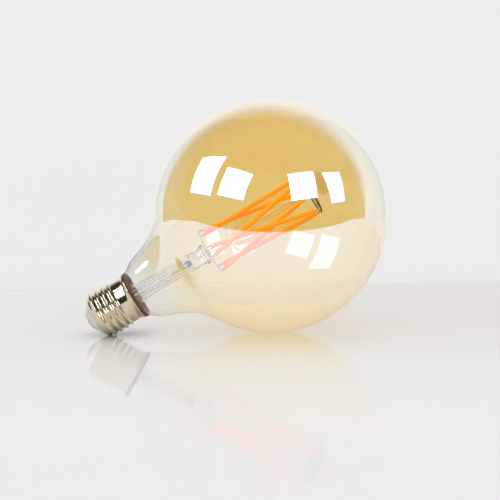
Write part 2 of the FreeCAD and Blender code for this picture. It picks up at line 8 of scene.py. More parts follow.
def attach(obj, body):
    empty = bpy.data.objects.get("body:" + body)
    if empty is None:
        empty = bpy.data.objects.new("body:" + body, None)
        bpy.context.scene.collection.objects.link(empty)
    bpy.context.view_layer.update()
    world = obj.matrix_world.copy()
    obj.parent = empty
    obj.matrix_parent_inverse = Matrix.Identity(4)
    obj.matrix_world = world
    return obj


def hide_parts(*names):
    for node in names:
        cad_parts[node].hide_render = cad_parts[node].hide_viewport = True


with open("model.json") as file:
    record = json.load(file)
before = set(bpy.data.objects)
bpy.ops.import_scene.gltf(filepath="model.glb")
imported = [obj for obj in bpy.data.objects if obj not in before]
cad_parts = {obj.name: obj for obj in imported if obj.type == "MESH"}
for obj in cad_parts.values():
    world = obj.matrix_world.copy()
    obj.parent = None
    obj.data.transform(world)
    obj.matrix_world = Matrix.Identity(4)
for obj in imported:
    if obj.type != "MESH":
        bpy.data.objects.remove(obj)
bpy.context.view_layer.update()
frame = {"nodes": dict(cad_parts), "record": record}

MM = 0.001

# ---- the bulb's own axis, from the mount on its end contact --------------------
# Local frame: Z runs from the cap to the globe with 0 at the cap's rim, X points
# down and to the globe side, Y away from the front.  Lengths are in millimetres.
TIP_LEVEL = -28.0
contact = [m for m in frame["record"]["mounts"] if m["name"] == "centre_contact_face"][0]
AXIS = -Vector(contact["axis"]).normalized()
SIDE = Vector((0, 1, 0))
DOWN = SIDE.cross(AXIS).normalized()
RIM = Vector(contact["pos_m"]) - AXIS * (TIP_LEVEL * MM)
TO_ROW = Matrix((
    (DOWN.x * MM, SIDE.x * MM, AXIS.x * MM, RIM.x),
    (DOWN.y * MM, SIDE.y * MM, AXIS.y * MM, RIM.y),
    (DOWN.z * MM, SIDE.z * MM, AXIS.z * MM, RIM.z),
    (0, 0, 0, 1)))

GLOBE_RADIUS = 62.5
GLOBE_CENTER = 84.5
GLASS_WALL = 0.9
SKIRT_RADIUS = 11.3
SKIRT_BOTTOM = -7.0
SKIRT_TOP = -0.5
KNEE_RADIUS = 17.3
KNEE_LEVEL = 7.0
CONE_RADIUS = 26.6
CONE_LEVEL = 32.4
KNEE_ROUND = 9.0
SHOULDER_ROUND = 32.0


# ---- mesh helpers --------------------------------------------------------------
def row_mesh(name, points, faces, materials=(), face_slots=None):
    """Smooth mesh from points in the row's frame."""
    data = bpy.data.meshes.new(name)
    data.from_pydata(points, [], faces)
    data.update()
    for material in materials:
        data.materials.append(material)
    for index, polygon in enumerate(data.polygons):
        polygon.use_smooth = True
        if face_slots:
            polygon.material_index = face_slots[index]
    obj = bpy.data.objects.new(name, data)
    bpy.context.collection.objects.link(obj)
    return obj


def mesh_object(name, points, faces, materials=(), face_slots=None):
    """Smooth mesh from points in the bulb's own frame."""
    placed = [TO_ROW @ Vector(p) for p in points]
    return row_mesh(name, placed, faces, materials, face_slots)


def turned_point(radius, level, step, segments):
    angle = 2 * math.pi * step / segments
    return (radius * math.cos(angle), radius * math.sin(angle), level)


def ring_faces(rings, segments, closed=True):
    """Faces between neighbouring rings of points; closed joins the last to the first."""
    faces = []
    for low in range(rings if closed else rings - 1):
        high = (low + 1) % rings
        for step in range(segments):
            after = (step + 1) % segments
            faces.append((low * segments + step, low * segments + after,
                          high * segments + after, high * segments + step))
    return faces


def lathe(name, profile, materials, segments=160, closed=True, slot_of=None):
    """Turn a profile of (radius, level) points round the axis.
    Points with radius 0 become one pole; a closed profile makes a ring-shaped skin."""
    points, rings = [], []
    for radius, level in profile:
        if radius < 1e-6:
            rings.append([len(points)])
            points.append((0.0, 0.0, level))
            continue
        rings.append(list(range(len(points), len(points) + segments)))
        points += [turned_point(radius, level, step, segments) for step in range(segments)]
    faces, slots = [], []
    count = len(rings) if closed else len(rings) - 1
    for index in range(count):
        low, high = rings[index], rings[(index + 1) % len(rings)]
        if len(low) == 1 and len(high) == 1:
            continue
        for step in range(segments):
            after = (step + 1) % segments
            if len(low) == 1:
                face = (low[0], high[after], high[step])
            elif len(high) == 1:
                face = (low[step], low[after], high[0])
            else:
                face = (low[step], low[after], high[after], high[step])
            faces.append(face)
            slots.append(slot_of(index) if slot_of else 0)
    return mesh_object(name, points, faces, materials, slots)


def arc_points(center, radius, start, stop, count):
    """Points of an arc in the (radius, level) plane, angles in radians."""
    found = []
    for step in range(count + 1):
        angle = start + (stop - start) * step / count
        found.append((center[0] + radius * math.cos(angle), center[1] + radius * math.sin(angle)))
    return found


def fillet(before, corner, after, radius, count=8):
    """Round one corner of a profile."""
    to_before = Vector(before) - Vector(corner)
    to_after = Vector(after) - Vector(corner)
    half = to_before.angle(to_after) / 2
    reach = radius / math.tan(half)
    one = Vector(corner) + to_before.normalized() * reach
    two = Vector(corner) + to_after.normalized() * reach
    middle = (to_before.normalized() + to_after.normalized()).normalized()
    center = Vector(corner) + middle * (radius / math.sin(half))
    start = math.atan2(one.y - center.y, one.x - center.x)
    turn = math.atan2(two.y - center.y, two.x - center.x) - start
    turn = (turn + math.pi) % (2 * math.pi) - math.pi
    return arc_points(center, radius, start, start + turn, count)


def smooth_profile(points, steps=6):
    """Catmull-Rom curve through the given profile points."""
    found = []
    for index in range(len(points) - 1):
        p0 = Vector(points[max(index - 1, 0)])
        p1, p2 = Vector(points[index]), Vector(points[index + 1])
        p3 = Vector(points[min(index + 2, len(points) - 1)])
        for step in range(steps):
            t = step / steps
            spot = 0.5 * ((2 * p1) + (p2 - p0) * t + (2 * p0 - 5 * p1 + 4 * p2 - p3) * t * t
                          + (3 * p1 - p0 - 3 * p2 + p3) * t * t * t)
            found.append((max(spot.x, 0.0), spot.y))
    found.append(tuple(points[-1]))
    return found


def offset_profile(points, distance):
    """Profile moved sideways by a distance, towards the axis for a rising profile."""
    found = []
    for index, point in enumerate(points):
        before = Vector(points[max(index - 1, 0)])
        after = Vector(points[min(index + 1, len(points) - 1)])
        along = (after - before).normalized()
        found.append((point[0] - along.y * distance, point[1] + along.x * distance))
    return found


# ---- material helpers ----------------------------------------------------------
def new_material(name):
    material = bpy.data.materials.new(name)
    material.use_nodes = True
    material.node_tree.nodes.clear()
    output = material.node_tree.nodes.new("ShaderNodeOutputMaterial")
    return material, material.node_tree.nodes, material.node_tree.links, output


def feed(links, socket, value):
    """Give a socket a number or colour of its own, or link it to another socket."""
    if isinstance(value, bpy.types.NodeSocket):
        links.new(value, socket)
    else:
        socket.default_value = value


def noise_node(nodes, links, scale):
    place = nodes.new("ShaderNodeTexCoord")
    grain = nodes.new("ShaderNodeTexNoise")
    grain.inputs["Scale"].default_value = scale
    grain.inputs["Detail"].default_value = 3.0
    links.new(place.outputs["Object"], grain.inputs["Vector"])
    return grain


def ramp_node(nodes, links, source, stops):
    ramp = nodes.new("ShaderNodeValToRGB")
    while len(ramp.color_ramp.elements) < len(stops):
        ramp.color_ramp.elements.new(0.5)
    for element, (position, color) in zip(ramp.color_ramp.elements, stops):
        element.position = position
        element.color = (*color, 1.0)
    links.new(source, ramp.inputs["Fac"])
    return ramp


def range_node(nodes, links, source, from_low, from_high, low, high, smooth=False):
    """Source mapped from one range to another, with soft ends if smooth."""
    mapped = nodes.new("ShaderNodeMapRange")
    if smooth:
        mapped.interpolation_type = "SMOOTHSTEP"
    for name, value in (("Value", source), ("From Min", from_low), ("From Max", from_high),
                        ("To Min", low), ("To Max", high)):
        feed(links, mapped.inputs[name], value)
    return mapped.outputs["Result"]


def math_node(nodes, links, operation, *values):
    node = nodes.new("ShaderNodeMath")
    node.operation = operation
    for socket, value in zip(node.inputs, values):
        feed(links, socket, value)
    return node.outputs["Value"]


def along_node(nodes, links, place, direction):
    """How far a position or a direction reaches along a fixed direction."""
    reach = nodes.new("ShaderNodeVectorMath")
    reach.operation = "DOT_PRODUCT"
    reach.inputs[1].default_value = direction
    links.new(place, reach.inputs[0])
    return reach.outputs["Value"]


def mix_color(nodes, links, fac, low, high, blend="MIX"):
    mix = nodes.new("ShaderNodeMixRGB")
    mix.blend_type = blend
    for socket, value in zip(mix.inputs, (fac, low, high)):
        feed(links, socket, value)
    return mix.outputs["Color"]


def mix_shader(nodes, links, fac, low, high):
    mix = nodes.new("ShaderNodeMixShader")
    for socket, value in zip(mix.inputs, (fac, low, high)):
        links.new(value, socket)
    return mix.outputs["Shader"]


def surface(name, dark, light, rough, metallic=0.0, scale=400.0, bump=0.02, **more):
    """Principled surface whose colour and roughness vary with a fine grain."""
    material, nodes, links, output = new_material(name)
    shader = nodes.new("ShaderNodeBsdfPrincipled")
    grain = noise_node(nodes, links, scale)
    ramp = ramp_node(nodes, links, grain.outputs["Fac"], [(0.3, dark), (0.7, light)])
    links.new(ramp.outputs["Color"], shader.inputs["Base Color"])
    roughness = range_node(nodes, links, grain.outputs["Fac"], 0.3, 0.7, rough[0], rough[1])
    links.new(roughness, shader.inputs["Roughness"])
    shader.inputs["Metallic"].default_value = metallic
    for socket, value in more.items():
        shader.inputs[socket.replace("_", " ")].default_value = value
    if bump:
        lift = nodes.new("ShaderNodeBump")
        lift.inputs["Strength"].default_value = bump
        lift.inputs["Distance"].default_value = 0.0003
        links.new(grain.outputs["Fac"], lift.inputs["Height"])
        links.new(lift.outputs["Normal"], shader.inputs["Normal"])
    links.new(shader.outputs["BSDF"], output.inputs["Surface"])
    return material


def light_passes(nodes, links, shader, tint):
    """Let lamps shine through the glass: shadow and diffuse rays see a tinted pane."""
    path = nodes.new("ShaderNodeLightPath")
    either = math_node(nodes, links, "MAXIMUM",
                       path.outputs["Is Shadow Ray"], path.outputs["Is Diffuse Ray"])
    pane = nodes.new("ShaderNodeBsdfTransparent")
    feed(links, pane.inputs["Color"], tint)
    return mix_shader(nodes, links, either, shader, pane.outputs["BSDF"])


def clear_glass(name, tint=(0.985, 0.99, 0.985)):
    material, nodes, links, output = new_material(name)
    glass = nodes.new("ShaderNodeBsdfGlass")
    glass.inputs["IOR"].default_value = 1.5
    grain = noise_node(nodes, links, 60.0)
    faint = tuple(0.985 * value for value in tint)
    ramp = ramp_node(nodes, links, grain.outputs["Fac"], [(0.3, faint), (0.7, tint)])
    links.new(ramp.outputs["Color"], glass.inputs["Color"])
    glass.inputs["Roughness"].default_value = 0.0
    lit = light_passes(nodes, links, glass.outputs["BSDF"], (*tint, 1.0))
    links.new(lit, output.inputs["Surface"])
    return material


AMBER_THROUGH = (0.945, 0.705, 0.325)
AMBER_MIRROR = (0.12, 0.31, 0.58)
AMBER_SHADE = (0.965, 0.89, 0.74)
CLEAR_THROUGH = (0.98, 0.985, 0.975)
CLEAR_MIRROR = (0.0, 0.0, 0.0)
AMBER_START = 3.0
AMBER_FULL = 40.0


def amber_glass(name):
    """Glass with a thin coating that passes amber light and reflects bluish light.
    The coating fades out towards the neck."""
    material, nodes, links, output = new_material(name)
    place = nodes.new("ShaderNodeTexCoord")
    along = along_node(nodes, links, place.outputs["Object"], AXIS)
    base = RIM.dot(AXIS)
    fade = range_node(nodes, links, along, base + AMBER_START * MM, base + AMBER_FULL * MM,
                      0.0, 1.0, smooth=True)
    through = ramp_node(nodes, links, fade, [(0.0, CLEAR_THROUGH), (1.0, AMBER_THROUGH)])
    mirror = ramp_node(nodes, links, fade, [(0.0, CLEAR_MIRROR), (1.0, AMBER_MIRROR)])
    refract = nodes.new("ShaderNodeBsdfRefraction")
    refract.inputs["IOR"].default_value = 1.5
    refract.inputs["Roughness"].default_value = 0.0
    links.new(through.outputs["Color"], refract.inputs["Color"])
    coat = nodes.new("ShaderNodeBsdfGlossy")
    coat.inputs["Roughness"].default_value = 0.0
    links.new(mirror.outputs["Color"], coat.inputs["Color"])
    both = nodes.new("ShaderNodeAddShader")
    links.new(refract.outputs["BSDF"], both.inputs[0])
    links.new(coat.outputs["BSDF"], both.inputs[1])
    plain = nodes.new("ShaderNodeBsdfGlossy")
    plain.inputs["Roughness"].default_value = 0.0
    plain.inputs["Color"].default_value = (0.95, 0.97, 0.98, 1.0)
    edge = nodes.new("ShaderNodeFresnel")
    edge.inputs["IOR"].default_value = 1.45
    blend = mix_shader(nodes, links, edge.outputs["Fac"],
                       both.outputs["Shader"], plain.outputs["BSDF"])
    shade = ramp_node(nodes, links, fade, [(0.0, CLEAR_THROUGH), (1.0, AMBER_SHADE)])
    lit = light_passes(nodes, links, blend, shade.outputs["Color"])
    links.new(lit, output.inputs["Surface"])
    return material


# ---- materials -----------------------------------------------------------------
nickel = surface("nickel", (0.74, 0.64, 0.49), (0.82, 0.73, 0.58), (0.09, 0.14),
                 1.0, 900.0, 0.02)
insulator = surface("insulator", (0.90, 0.84, 0.74), (0.94, 0.89, 0.80), (0.25, 0.35), scale=300.0)
cement = surface("cement", (0.10, 0.035, 0.015), (0.22, 0.10, 0.05), (0.6, 0.8),
                 scale=900.0, bump=0.4)
solder = surface("solder", (0.60, 0.60, 0.60), (0.74, 0.74, 0.73), (0.25, 0.4), 1.0, 500.0, 0.2)
brass = surface("contact_brass", (0.66, 0.58, 0.40), (0.76, 0.68, 0.50), (0.2, 0.3), 1.0, 600.0)
wire = surface("wire_nickel", (0.62, 0.54, 0.42), (0.72, 0.63, 0.50), (0.35, 0.5), 0.45, 800.0)
dark_wire = surface("wire_oxidised", (0.05, 0.04, 0.03), (0.11, 0.09, 0.07), (0.35, 0.5),
                    0.6, 800.0)
strip = surface("strip_metal", (0.66, 0.58, 0.44), (0.78, 0.70, 0.56), (0.3, 0.45), 0.4, 900.0)
# Painted glow: the phosphor coat gets a faint orange emission that brightens it, though the bulb
# is not lit.
phosphor = surface("phosphor", (0.98, 0.40, 0.003), (1.0, 0.47, 0.006), (0.5, 0.65),
                   scale=1500.0, bump=0.2, Subsurface_Weight=0.2, Subsurface_Scale=0.001,
                   Specular_IOR_Level=0.15, Emission_Color=(1.0, 0.42, 0.0, 1.0),
                   Emission_Strength=0.2)
phosphor_shader = phosphor.node_tree.nodes["Principled BSDF"]
phosphor_shader.inputs["Subsurface Radius"].default_value = (1.0, 0.4, 0.1)
board = surface("board_green", (0.01, 0.10, 0.04), (0.02, 0.15, 0.06), (0.3, 0.4), scale=700.0)
tin = surface("tin_lid", (0.55, 0.55, 0.55), (0.70, 0.70, 0.69), (0.25, 0.4), 1.0, 500.0)
chip = surface("chip_black", (0.012, 0.012, 0.012), (0.03, 0.03, 0.03), (0.4, 0.6), scale=900.0)
shrink = surface("capacitor_sleeve", (0.01, 0.015, 0.04), (0.02, 0.03, 0.07), (0.2, 0.35))
resistor = surface("resistor_body", (0.16, 0.30, 0.33), (0.24, 0.40, 0.42), (0.35, 0.5))
ferrite = surface("ferrite", (0.05, 0.05, 0.05), (0.10, 0.10, 0.10), (0.5, 0.7), scale=900.0)
cup_plastic = surface("sleeve_plastic", (0.70, 0.69, 0.65), (0.80, 0.79, 0.75), (0.4, 0.5))
white_wire = surface("wire_white", (0.72, 0.72, 0.70), (0.82, 0.82, 0.80), (0.3, 0.4))
yellow_cap = surface("heat_shrink_yellow", (0.62, 0.42, 0.06), (0.72, 0.52, 0.12), (0.4, 0.55))
stem_clear = clear_glass("stem_glass_clear")
inner_clear = clear_glass("globe_inner_skin", (0.995, 0.995, 0.995))
globe_amber = amber_glass("globe_amber_coat")

SLOT_MATERIALS = {
    "nickel_plate": nickel, "insulator_white": insulator, "contact_metal": brass,
    "solder": solder, "cement_brown": cement, "glass_amber": globe_amber,
    "glass_clear": stem_clear, "wire_nickel": wire, "wire_oxidised": dark_wire,
    "phosphor_orange": phosphor,
    "strip_metal": strip, "sleeve_plastic": cup_plastic, "board_green": board,
    "tin_lid": tin, "chip_black": chip, "capacitor_sleeve": shrink,
    "resistor_body": resistor, "ferrite": ferrite, "wire_white": white_wire,
    "heat_shrink_yellow": yellow_cap,
}
for entry in frame["record"]["subparts"]:
    node = frame["nodes"][entry["node"]]
    node.data.materials.clear()
    node.data.materials.append(SLOT_MATERIALS[entry["material_slot"]])


def finish_piece(obj, slot, *nodes):
    """Give a finished mesh its body, and hide the CAD nodes it stands for; the slot argument is
    not used.
    """
    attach(obj, "root")
    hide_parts(*nodes)


# ---- glass envelope --------------------------------------------------------------
def envelope_outline():
    """Outside of the blown glass from the skirt up to the pole of the globe."""
    knee = (KNEE_RADIUS, KNEE_LEVEL)
    lean = math.atan((CONE_RADIUS - KNEE_RADIUS) / (CONE_LEVEL - KNEE_LEVEL))
    away = Vector((math.cos(lean), -math.sin(lean)))
    start = Vector(knee) + away * SHOULDER_ROUND
    along = Vector((math.sin(lean), math.cos(lean)))
    middle = Vector((0.0, GLOBE_CENTER))
    gap = start - middle
    b_term = gap.dot(along)
    c_term = gap.dot(gap) - (GLOBE_RADIUS + SHOULDER_ROUND) ** 2
    reach = -b_term - math.sqrt(b_term * b_term - c_term)
    center = start + along * reach
    leave = center - away * SHOULDER_ROUND
    join = middle + (center - middle).normalized() * GLOBE_RADIUS
    first = math.atan2(leave.y - center.y, leave.x - center.x)
    last = math.atan2(join.y - center.y, join.x - center.x)
    if last - first > math.pi:
        last -= 2 * math.pi
    if first - last > math.pi:
        last += 2 * math.pi
    skirt_foot, skirt_head = (SKIRT_RADIUS, SKIRT_BOTTOM), (SKIRT_RADIUS, SKIRT_TOP)
    outline = [skirt_foot, (SKIRT_RADIUS, -3.0)]
    outline += fillet(skirt_foot, skirt_head, knee, 1.2, 4)
    outline += fillet(skirt_head, knee, tuple(leave), KNEE_ROUND, 10)
    outline += arc_points(center, SHOULDER_ROUND, first, last, 24)
    low = math.atan2(join.y - GLOBE_CENTER, join.x)
    outline += arc_points(middle, GLOBE_RADIUS, low, math.pi / 2, 96)[1:]
    outline[-1] = (0.0, GLOBE_CENTER + GLOBE_RADIUS)
    return outline


def make_envelope():
    outside = envelope_outline()
    inside = offset_profile(outside, GLASS_WALL)
    inside[-1] = (0.0, GLOBE_CENTER + GLOBE_RADIUS - GLASS_WALL)
    profile = list(reversed(outside)) + inside
    last_outer = len(outside) - 1
    obj = lathe("glass_bulb", list(reversed(profile)), [globe_amber, inner_clear], 256,
                closed=False,
                slot_of=lambda index: 0 if index >= len(inside) else 1)
    finish_piece(obj, "glass_amber", "glass_envelope")


# ---- stem, exhaust tube and rod ---------------------------------------------------
def make_stem():
    outer = [(10.4, -7.0), (10.4, -6.0), (9.6, -4.9), (7.6, -3.2), (6.3, -1.2), (5.6, 2.0),
             (5.1, 7.0), (4.85, 12.0), (4.8, 20.0), (4.8, 30.0), (4.8, 36.0), (4.6, 38.5),
             (4.35, 40.0), (4.6, 41.5), (5.3, 43.2), (5.7, 44.3), (5.3, 45.0), (4.2, 45.3),
             (2.0, 45.25), (0.0, 45.2)]
    inner = [(0.0, 36.4), (1.7, 36.2), (3.2, 35.6), (3.85, 34.0), (3.9, 30.0), (3.9, 20.0),
             (3.95, 12.0), (4.2, 7.0), (4.7, 2.0), (5.4, -1.4), (6.7, -3.8), (8.4, -5.6),
             (9.4, -7.0)]
    profile = smooth_profile(outer, 5) + smooth_profile(inner, 5)
    obj = lathe("stem_tube", profile, [stem_clear], 96, closed=True)
    finish_piece(obj, "glass_clear", "stem_glass")


def make_exhaust():
    outer = [(0.0, -8.8), (0.9, -8.6), (1.5, -7.9), (1.7, -6.8), (1.7, 0.0), (1.7, 36.1)]
    inner = [(1.1, 36.1), (1.1, 0.0), (1.1, -6.5), (0.8, -7.2), (0.0, -7.5)]
    profile = smooth_profile(outer, 5) + smooth_profile(inner, 5)
    obj = lathe("exhaust_pipe", profile, [stem_clear], 64, closed=True)
    finish_piece(obj, "glass_clear", "exhaust_tube")


def make_rod():
    outer = [(0.0, 45.25), (1.5, 45.3), (1.9, 45.5), (1.45, 46.6), (1.2, 48.0), (1.2, 80.0),
             (1.2, 106.8), (1.5, 107.7), (2.0, 108.8), (2.05, 109.6), (1.8, 110.5), (1.1, 111.1),
             (0.0, 111.3)]
    obj = lathe("centre_rod", smooth_profile(outer, 6), [stem_clear], 64, closed=False)
    finish_piece(obj, "glass_clear", "support_rod")


# ---- screw cap -------------------------------------------------------------------
ROOT = 12.15
CREST = 13.1
PITCH = 3.629
THREAD_LOW = -20.3
THREAD_TOP = -7.4
THREAD_END = -20.9
THREAD_STEP = 0.11
THREAD_SINK = 0.05


def shell_radius(level, angle):
    """Outer radius of the rolled shell: round thread that fades out at both ends."""
    turn = (level - THREAD_LOW) / PITCH - (angle - math.pi) / (2 * math.pi)
    wave = 0.5 + 0.5 * math.cos(2 * math.pi * turn)
    fade_top = min(max((THREAD_TOP + 1.0 - level) / 2.0, 0.0), 1.0)
    fade_low = min(max((level - THREAD_LOW + 2.2) / 1.6, 0.0), 1.0)
    fade = fade_top * fade_top * (3 - 2 * fade_top) * fade_low * fade_low * (3 - 2 * fade_low)
    return ROOT - THREAD_SINK + (CREST - ROOT + THREAD_SINK) * wave ** 1.15 * fade


def make_shell():
    segments = 288
    rows = []
    for radius, level in [(13.1, -0.03), (13.22, 0.02), (13.32, -0.12), (13.28, -0.4),
                          (13.1, -0.7), (12.75, -1.1), (12.35, -1.55), (12.17, -2.1)]:
        rows.append([(radius, level)] * segments)
    levels = [-2.3 - 0.4 * k for k in range(11)]
    collar_end = levels[-1]
    count = int((collar_end - THREAD_END) / THREAD_STEP)
    levels += [collar_end - THREAD_STEP * (k + 1) for k in range(count)]
    for level in levels:
        rows.append([(shell_radius(level, 2 * math.pi * k / segments), level)
                     for k in range(segments)])
    ending = [(12.05, -21.1), (11.8, -21.75), (11.35, -22.35), (10.8, -22.8), (10.2, -23.15),
              (9.75, -23.35), (9.55, -23.4), (9.5, -23.25), (9.5, -22.95), (10.4, -22.5),
              (11.2, -21.9), (11.65, -21.0), (11.8, -20.0), (11.8, -10.0), (11.8, -2.0),
              (12.05, -1.3), (12.45, -0.75), (12.9, -0.3)]
    for radius, level in ending:
        rows.append([(radius, level)] * segments)
    points = [turned_point(*spot, k, segments) for row in rows for k, spot in enumerate(row)]
    faces = [face[::-1] for face in ring_faces(len(rows), segments)]
    obj = mesh_object("screw_shell", points, faces, [nickel])
    finish_piece(obj, "nickel_plate", "cap_shell")


def make_insulator():
    profile = [(0.9, -21.5), (9.9, -21.5), (10.25, -21.7), (10.25, -22.2), (9.6, -22.7),
               (9.48, -23.0), (9.46, -23.5), (9.1, -24.0), (8.5, -24.5), (7.2, -25.4),
               (6.2, -26.05), (5.65, -26.4), (5.3, -26.58), (4.9, -26.6), (0.9, -26.6)]
    obj = lathe("insulator_cone", profile, [insulator], 128, closed=True)
    finish_piece(obj, "insulator_white", "cap_insulator")


def make_contact():
    profile = [(0.9, -26.6), (4.75, -26.6), (4.9, -26.68), (4.9, -26.85), (4.75, -27.05),
               (4.4, -27.2), (0.9, -27.2)]
    obj = lathe("contact_disc", profile, [brass], 96, closed=True)
    finish_piece(obj, "contact_metal", "centre_contact")


def make_solder():
    profile = [(0.0, -26.6), (0.88, -26.6), (0.9, -27.2), (2.3, -27.2), (2.28, -27.4),
               (2.05, -27.7), (1.7, -27.92), (1.25, -28.0), (0.0, -28.0)]
    obj = lathe("solder_blob", profile, [solder], 64, closed=False)
    finish_piece(obj, "solder", "centre_solder")


CEMENT_WAVES = 3.0
CEMENT_LIFT = 0.2
CEMENT_STILL = 0.5


def make_cement():
    """Uneven brown bead between the glass and the rim of the cap; only the part above
    the rim is uneven."""
    section = [(11.32, -6.8), (11.78, -6.8), (11.78, -1.9), (12.4, -0.7), (12.8, 0.1),
               (13.1, 0.9), (13.35, 1.6), (13.36, 1.85), (13.15, 1.8), (12.3, 0.72),
               (11.45, -0.35)]
    segments = 192
    points = []
    for radius, level in section:
        for k in range(segments):
            wobble = noise.noise(Vector(turned_point(CEMENT_WAVES, level, k, segments)))
            lift = CEMENT_LIFT * wobble if level > CEMENT_STILL else 0.0
            points.append(turned_point(radius, level + lift, k, segments))
    obj = mesh_object("cement_bead", points, ring_faces(len(section), segments), [cement])
    finish_piece(obj, "cement_brown", "basing_cement")


# ---- filaments -------------------------------------------------------------------
def line_of(node):
    """Middle, direction and half length of a long CAD node, in the row frame."""
    spots = [v.co.copy() for v in frame["nodes"][node].data.vertices]
    middle = sum(spots, Vector()) / len(spots)
    far = max(spots, key=lambda p: (p - middle).length)
    direction = (far - middle).normalized()
    for _ in range(20):
        total = Vector()
        for p in spots:
            reach = p - middle
            total += reach * reach.dot(direction)
        direction = total.normalized()
    half = max((p - middle).dot(direction) for p in spots)
    return middle, direction, half


COAT_RADIUS = 1.24
COAT_END = 0.9
COAT_TIP = 0.35
COAT_SWELL = 0.02
COAT_CHIPS = 28


def make_filament(number):
    """Round silicone coat with a faint swelling over each chip and soft ends."""
    node = f"filament_{number}"
    middle, direction, half = line_of(node)
    spin = Vector((0, 0, 1)).rotation_difference(direction).to_matrix()
    segments, rings = 24, 240
    points = []
    for r in range(rings + 1):
        along = -1 + 2 * r / rings
        edge = min(1.0, (1 - abs(along)) * half / MM / COAT_END)
        cap = math.sqrt(max(0.0, 1 - (1 - edge) ** 2))
        swell = 1 + COAT_SWELL * math.cos(math.pi * COAT_CHIPS * along)
        radius = COAT_RADIUS * MM * max(cap, COAT_TIP) * swell / (1 + COAT_SWELL)
        points += [middle + spin @ Vector(turned_point(radius, along * half, k, segments))
                   for k in range(segments)]
    faces = ring_faces(rings + 1, segments, closed=False)
    faces.append(tuple(reversed(range(segments))))
    faces.append(tuple(range(rings * segments, (rings + 1) * segments)))
    obj = row_mesh(f"filament_coat_{number}", points, faces, [phosphor])
    finish_piece(obj, "phosphor_orange", node)


# ---- build ------------------------------------------------------------------------
make_envelope()
make_stem()
make_exhaust()
make_rod()
make_shell()
make_insulator()
make_contact()
make_solder()
make_cement()
for number in range(1, 7):
    make_filament(number)

# ---- stage ------------------------------------------------------------------------
BACKDROP = (0.845, 0.845, 0.845)
TABLE_NEAR = -0.35
TABLE_FAR = 0.19
TABLE_BLEND = 0.02
TABLE_END = 0.55
TABLE_HALF = 1.6
# Colour of the painted shade band on the table's far part.
TABLE_PAINTED_SHADE = (0.91, 0.86, 0.81)
TABLE_GLOW = 0.05
WALL_LEFT, WALL_RIGHT = -0.36, 0.52
WALL_CURVE = 0.25
WALL_TOP = 2.2
FILM_LEVEL = 0.00005
# A ray that comes by way of the table has gone through the film twice, down and up.  A
# lamp's unseen disc counts as one pass.
FILM_PASSES = 1.5


def plane_strip(name, line, left, right):
    """Sheet through (depth, height) points, from one side to the other."""
    points, faces = [], []
    for y_pos, z_pos in line:
        points += [(left, y_pos, z_pos), (right, y_pos, z_pos)]
    for k in range(len(line) - 1):
        faces.append((2 * k, 2 * k + 1, 2 * k + 3, 2 * k + 2))
    obj = row_mesh(name, points, faces)
    return obj


def table_material():
    """Glossy white table, partly lit from within so that its shadows stay soft, that
    gives way to an evenly lit backdrop; a warm darker band of painted shade lies along its far
    edge, stronger to the right."""
    material = surface("table_gloss", (0.51, 0.51, 0.507), (0.53, 0.53, 0.527),
                       (0.025, 0.04), scale=3.0, bump=0.0, IOR=1.45)
    nodes, links = material.node_tree.nodes, material.node_tree.links
    shader = nodes["Principled BSDF"]
    place = nodes.new("ShaderNodeTexCoord")
    split = nodes.new("ShaderNodeSeparateXYZ")
    links.new(place.outputs["Object"], split.inputs["Vector"])
    # Painted shade: a warm darker band on the table towards its far edge, stronger to the right.
    far = range_node(nodes, links, split.outputs["Y"], -0.12, 0.04, 0.0, 1.0, smooth=True)
    side = range_node(nodes, links, split.outputs["X"], -0.1, 0.15, 0.25, 1.0)
    amount = math_node(nodes, links, "MULTIPLY", far, side)
    shade = ramp_node(nodes, links, amount, [(0.0, (1.0, 1.0, 1.0)), (1.0, TABLE_PAINTED_SHADE)])
    grain = nodes["Color Ramp"].outputs["Color"]
    paint = mix_color(nodes, links, 1.0, grain, shade.outputs["Color"], "MULTIPLY")
    links.new(paint, shader.inputs["Base Color"])
    links.new(paint, shader.inputs["Emission Color"])
    shader.inputs["Emission Strength"].default_value = TABLE_GLOW
    back = range_node(nodes, links, split.outputs["Y"], TABLE_FAR - TABLE_BLEND,
                      TABLE_FAR + TABLE_BLEND, 0.0, 1.0, smooth=True)
    whole = mix_shader(nodes, links, back, shader.outputs["BSDF"],
                       backdrop_glow(nodes, links))
    links.new(whole, nodes["Material Output"].inputs["Surface"])
    return material


def backdrop_glow(nodes, links):
    """Even light of the backdrop with the faintest cloudiness."""
    glow = nodes.new("ShaderNodeEmission")
    cloud = noise_node(nodes, links, 1.5)
    low = tuple(0.985 * value for value in BACKDROP)
    ramp = ramp_node(nodes, links, cloud.outputs["Fac"], [(0.3, low), (0.7, BACKDROP)])
    links.new(ramp.outputs["Color"], glow.inputs["Color"])
    return glow.outputs["Emission"]


def make_backdrop():
    """Wide table in front, and a narrower bright wall that curves up behind it.  The
    clear film marks light that comes by way of the table; the studio answers it with
    an even pale surround, so only the bulb itself mirrors the windows."""
    table = plane_strip("table", [(TABLE_NEAR, 0.0), (0.1, 0.0), (TABLE_END, 0.0)],
                        -TABLE_HALF, TABLE_HALF)
    table.data.materials.append(table_material())
    line = [(TABLE_END, 0.0)]
    for step in range(1, 17):
        angle = math.pi / 2 * step / 16
        line.append((TABLE_END + WALL_CURVE * math.sin(angle),
                     WALL_CURVE * (1 - math.cos(angle))))
    line.append((TABLE_END + WALL_CURVE, WALL_TOP))
    wall = plane_strip("wall", line, WALL_LEFT, WALL_RIGHT)
    material, nodes, links, output = new_material("wall_glow")
    links.new(backdrop_glow(nodes, links), output.inputs["Surface"])
    wall.data.materials.append(material)
    wall.visible_glossy = False
    wall.visible_diffuse = False
    film = plane_strip("table_film", [(TABLE_NEAR, FILM_LEVEL), (TABLE_FAR, FILM_LEVEL)],
                       -TABLE_HALF, TABLE_HALF)
    material, nodes, links, output = new_material("film_clear")
    pane = nodes.new("ShaderNodeBsdfTransparent")
    links.new(pane.outputs["BSDF"], output.inputs["Surface"])
    film.data.materials.append(material)
    film.visible_shadow = False


make_backdrop()

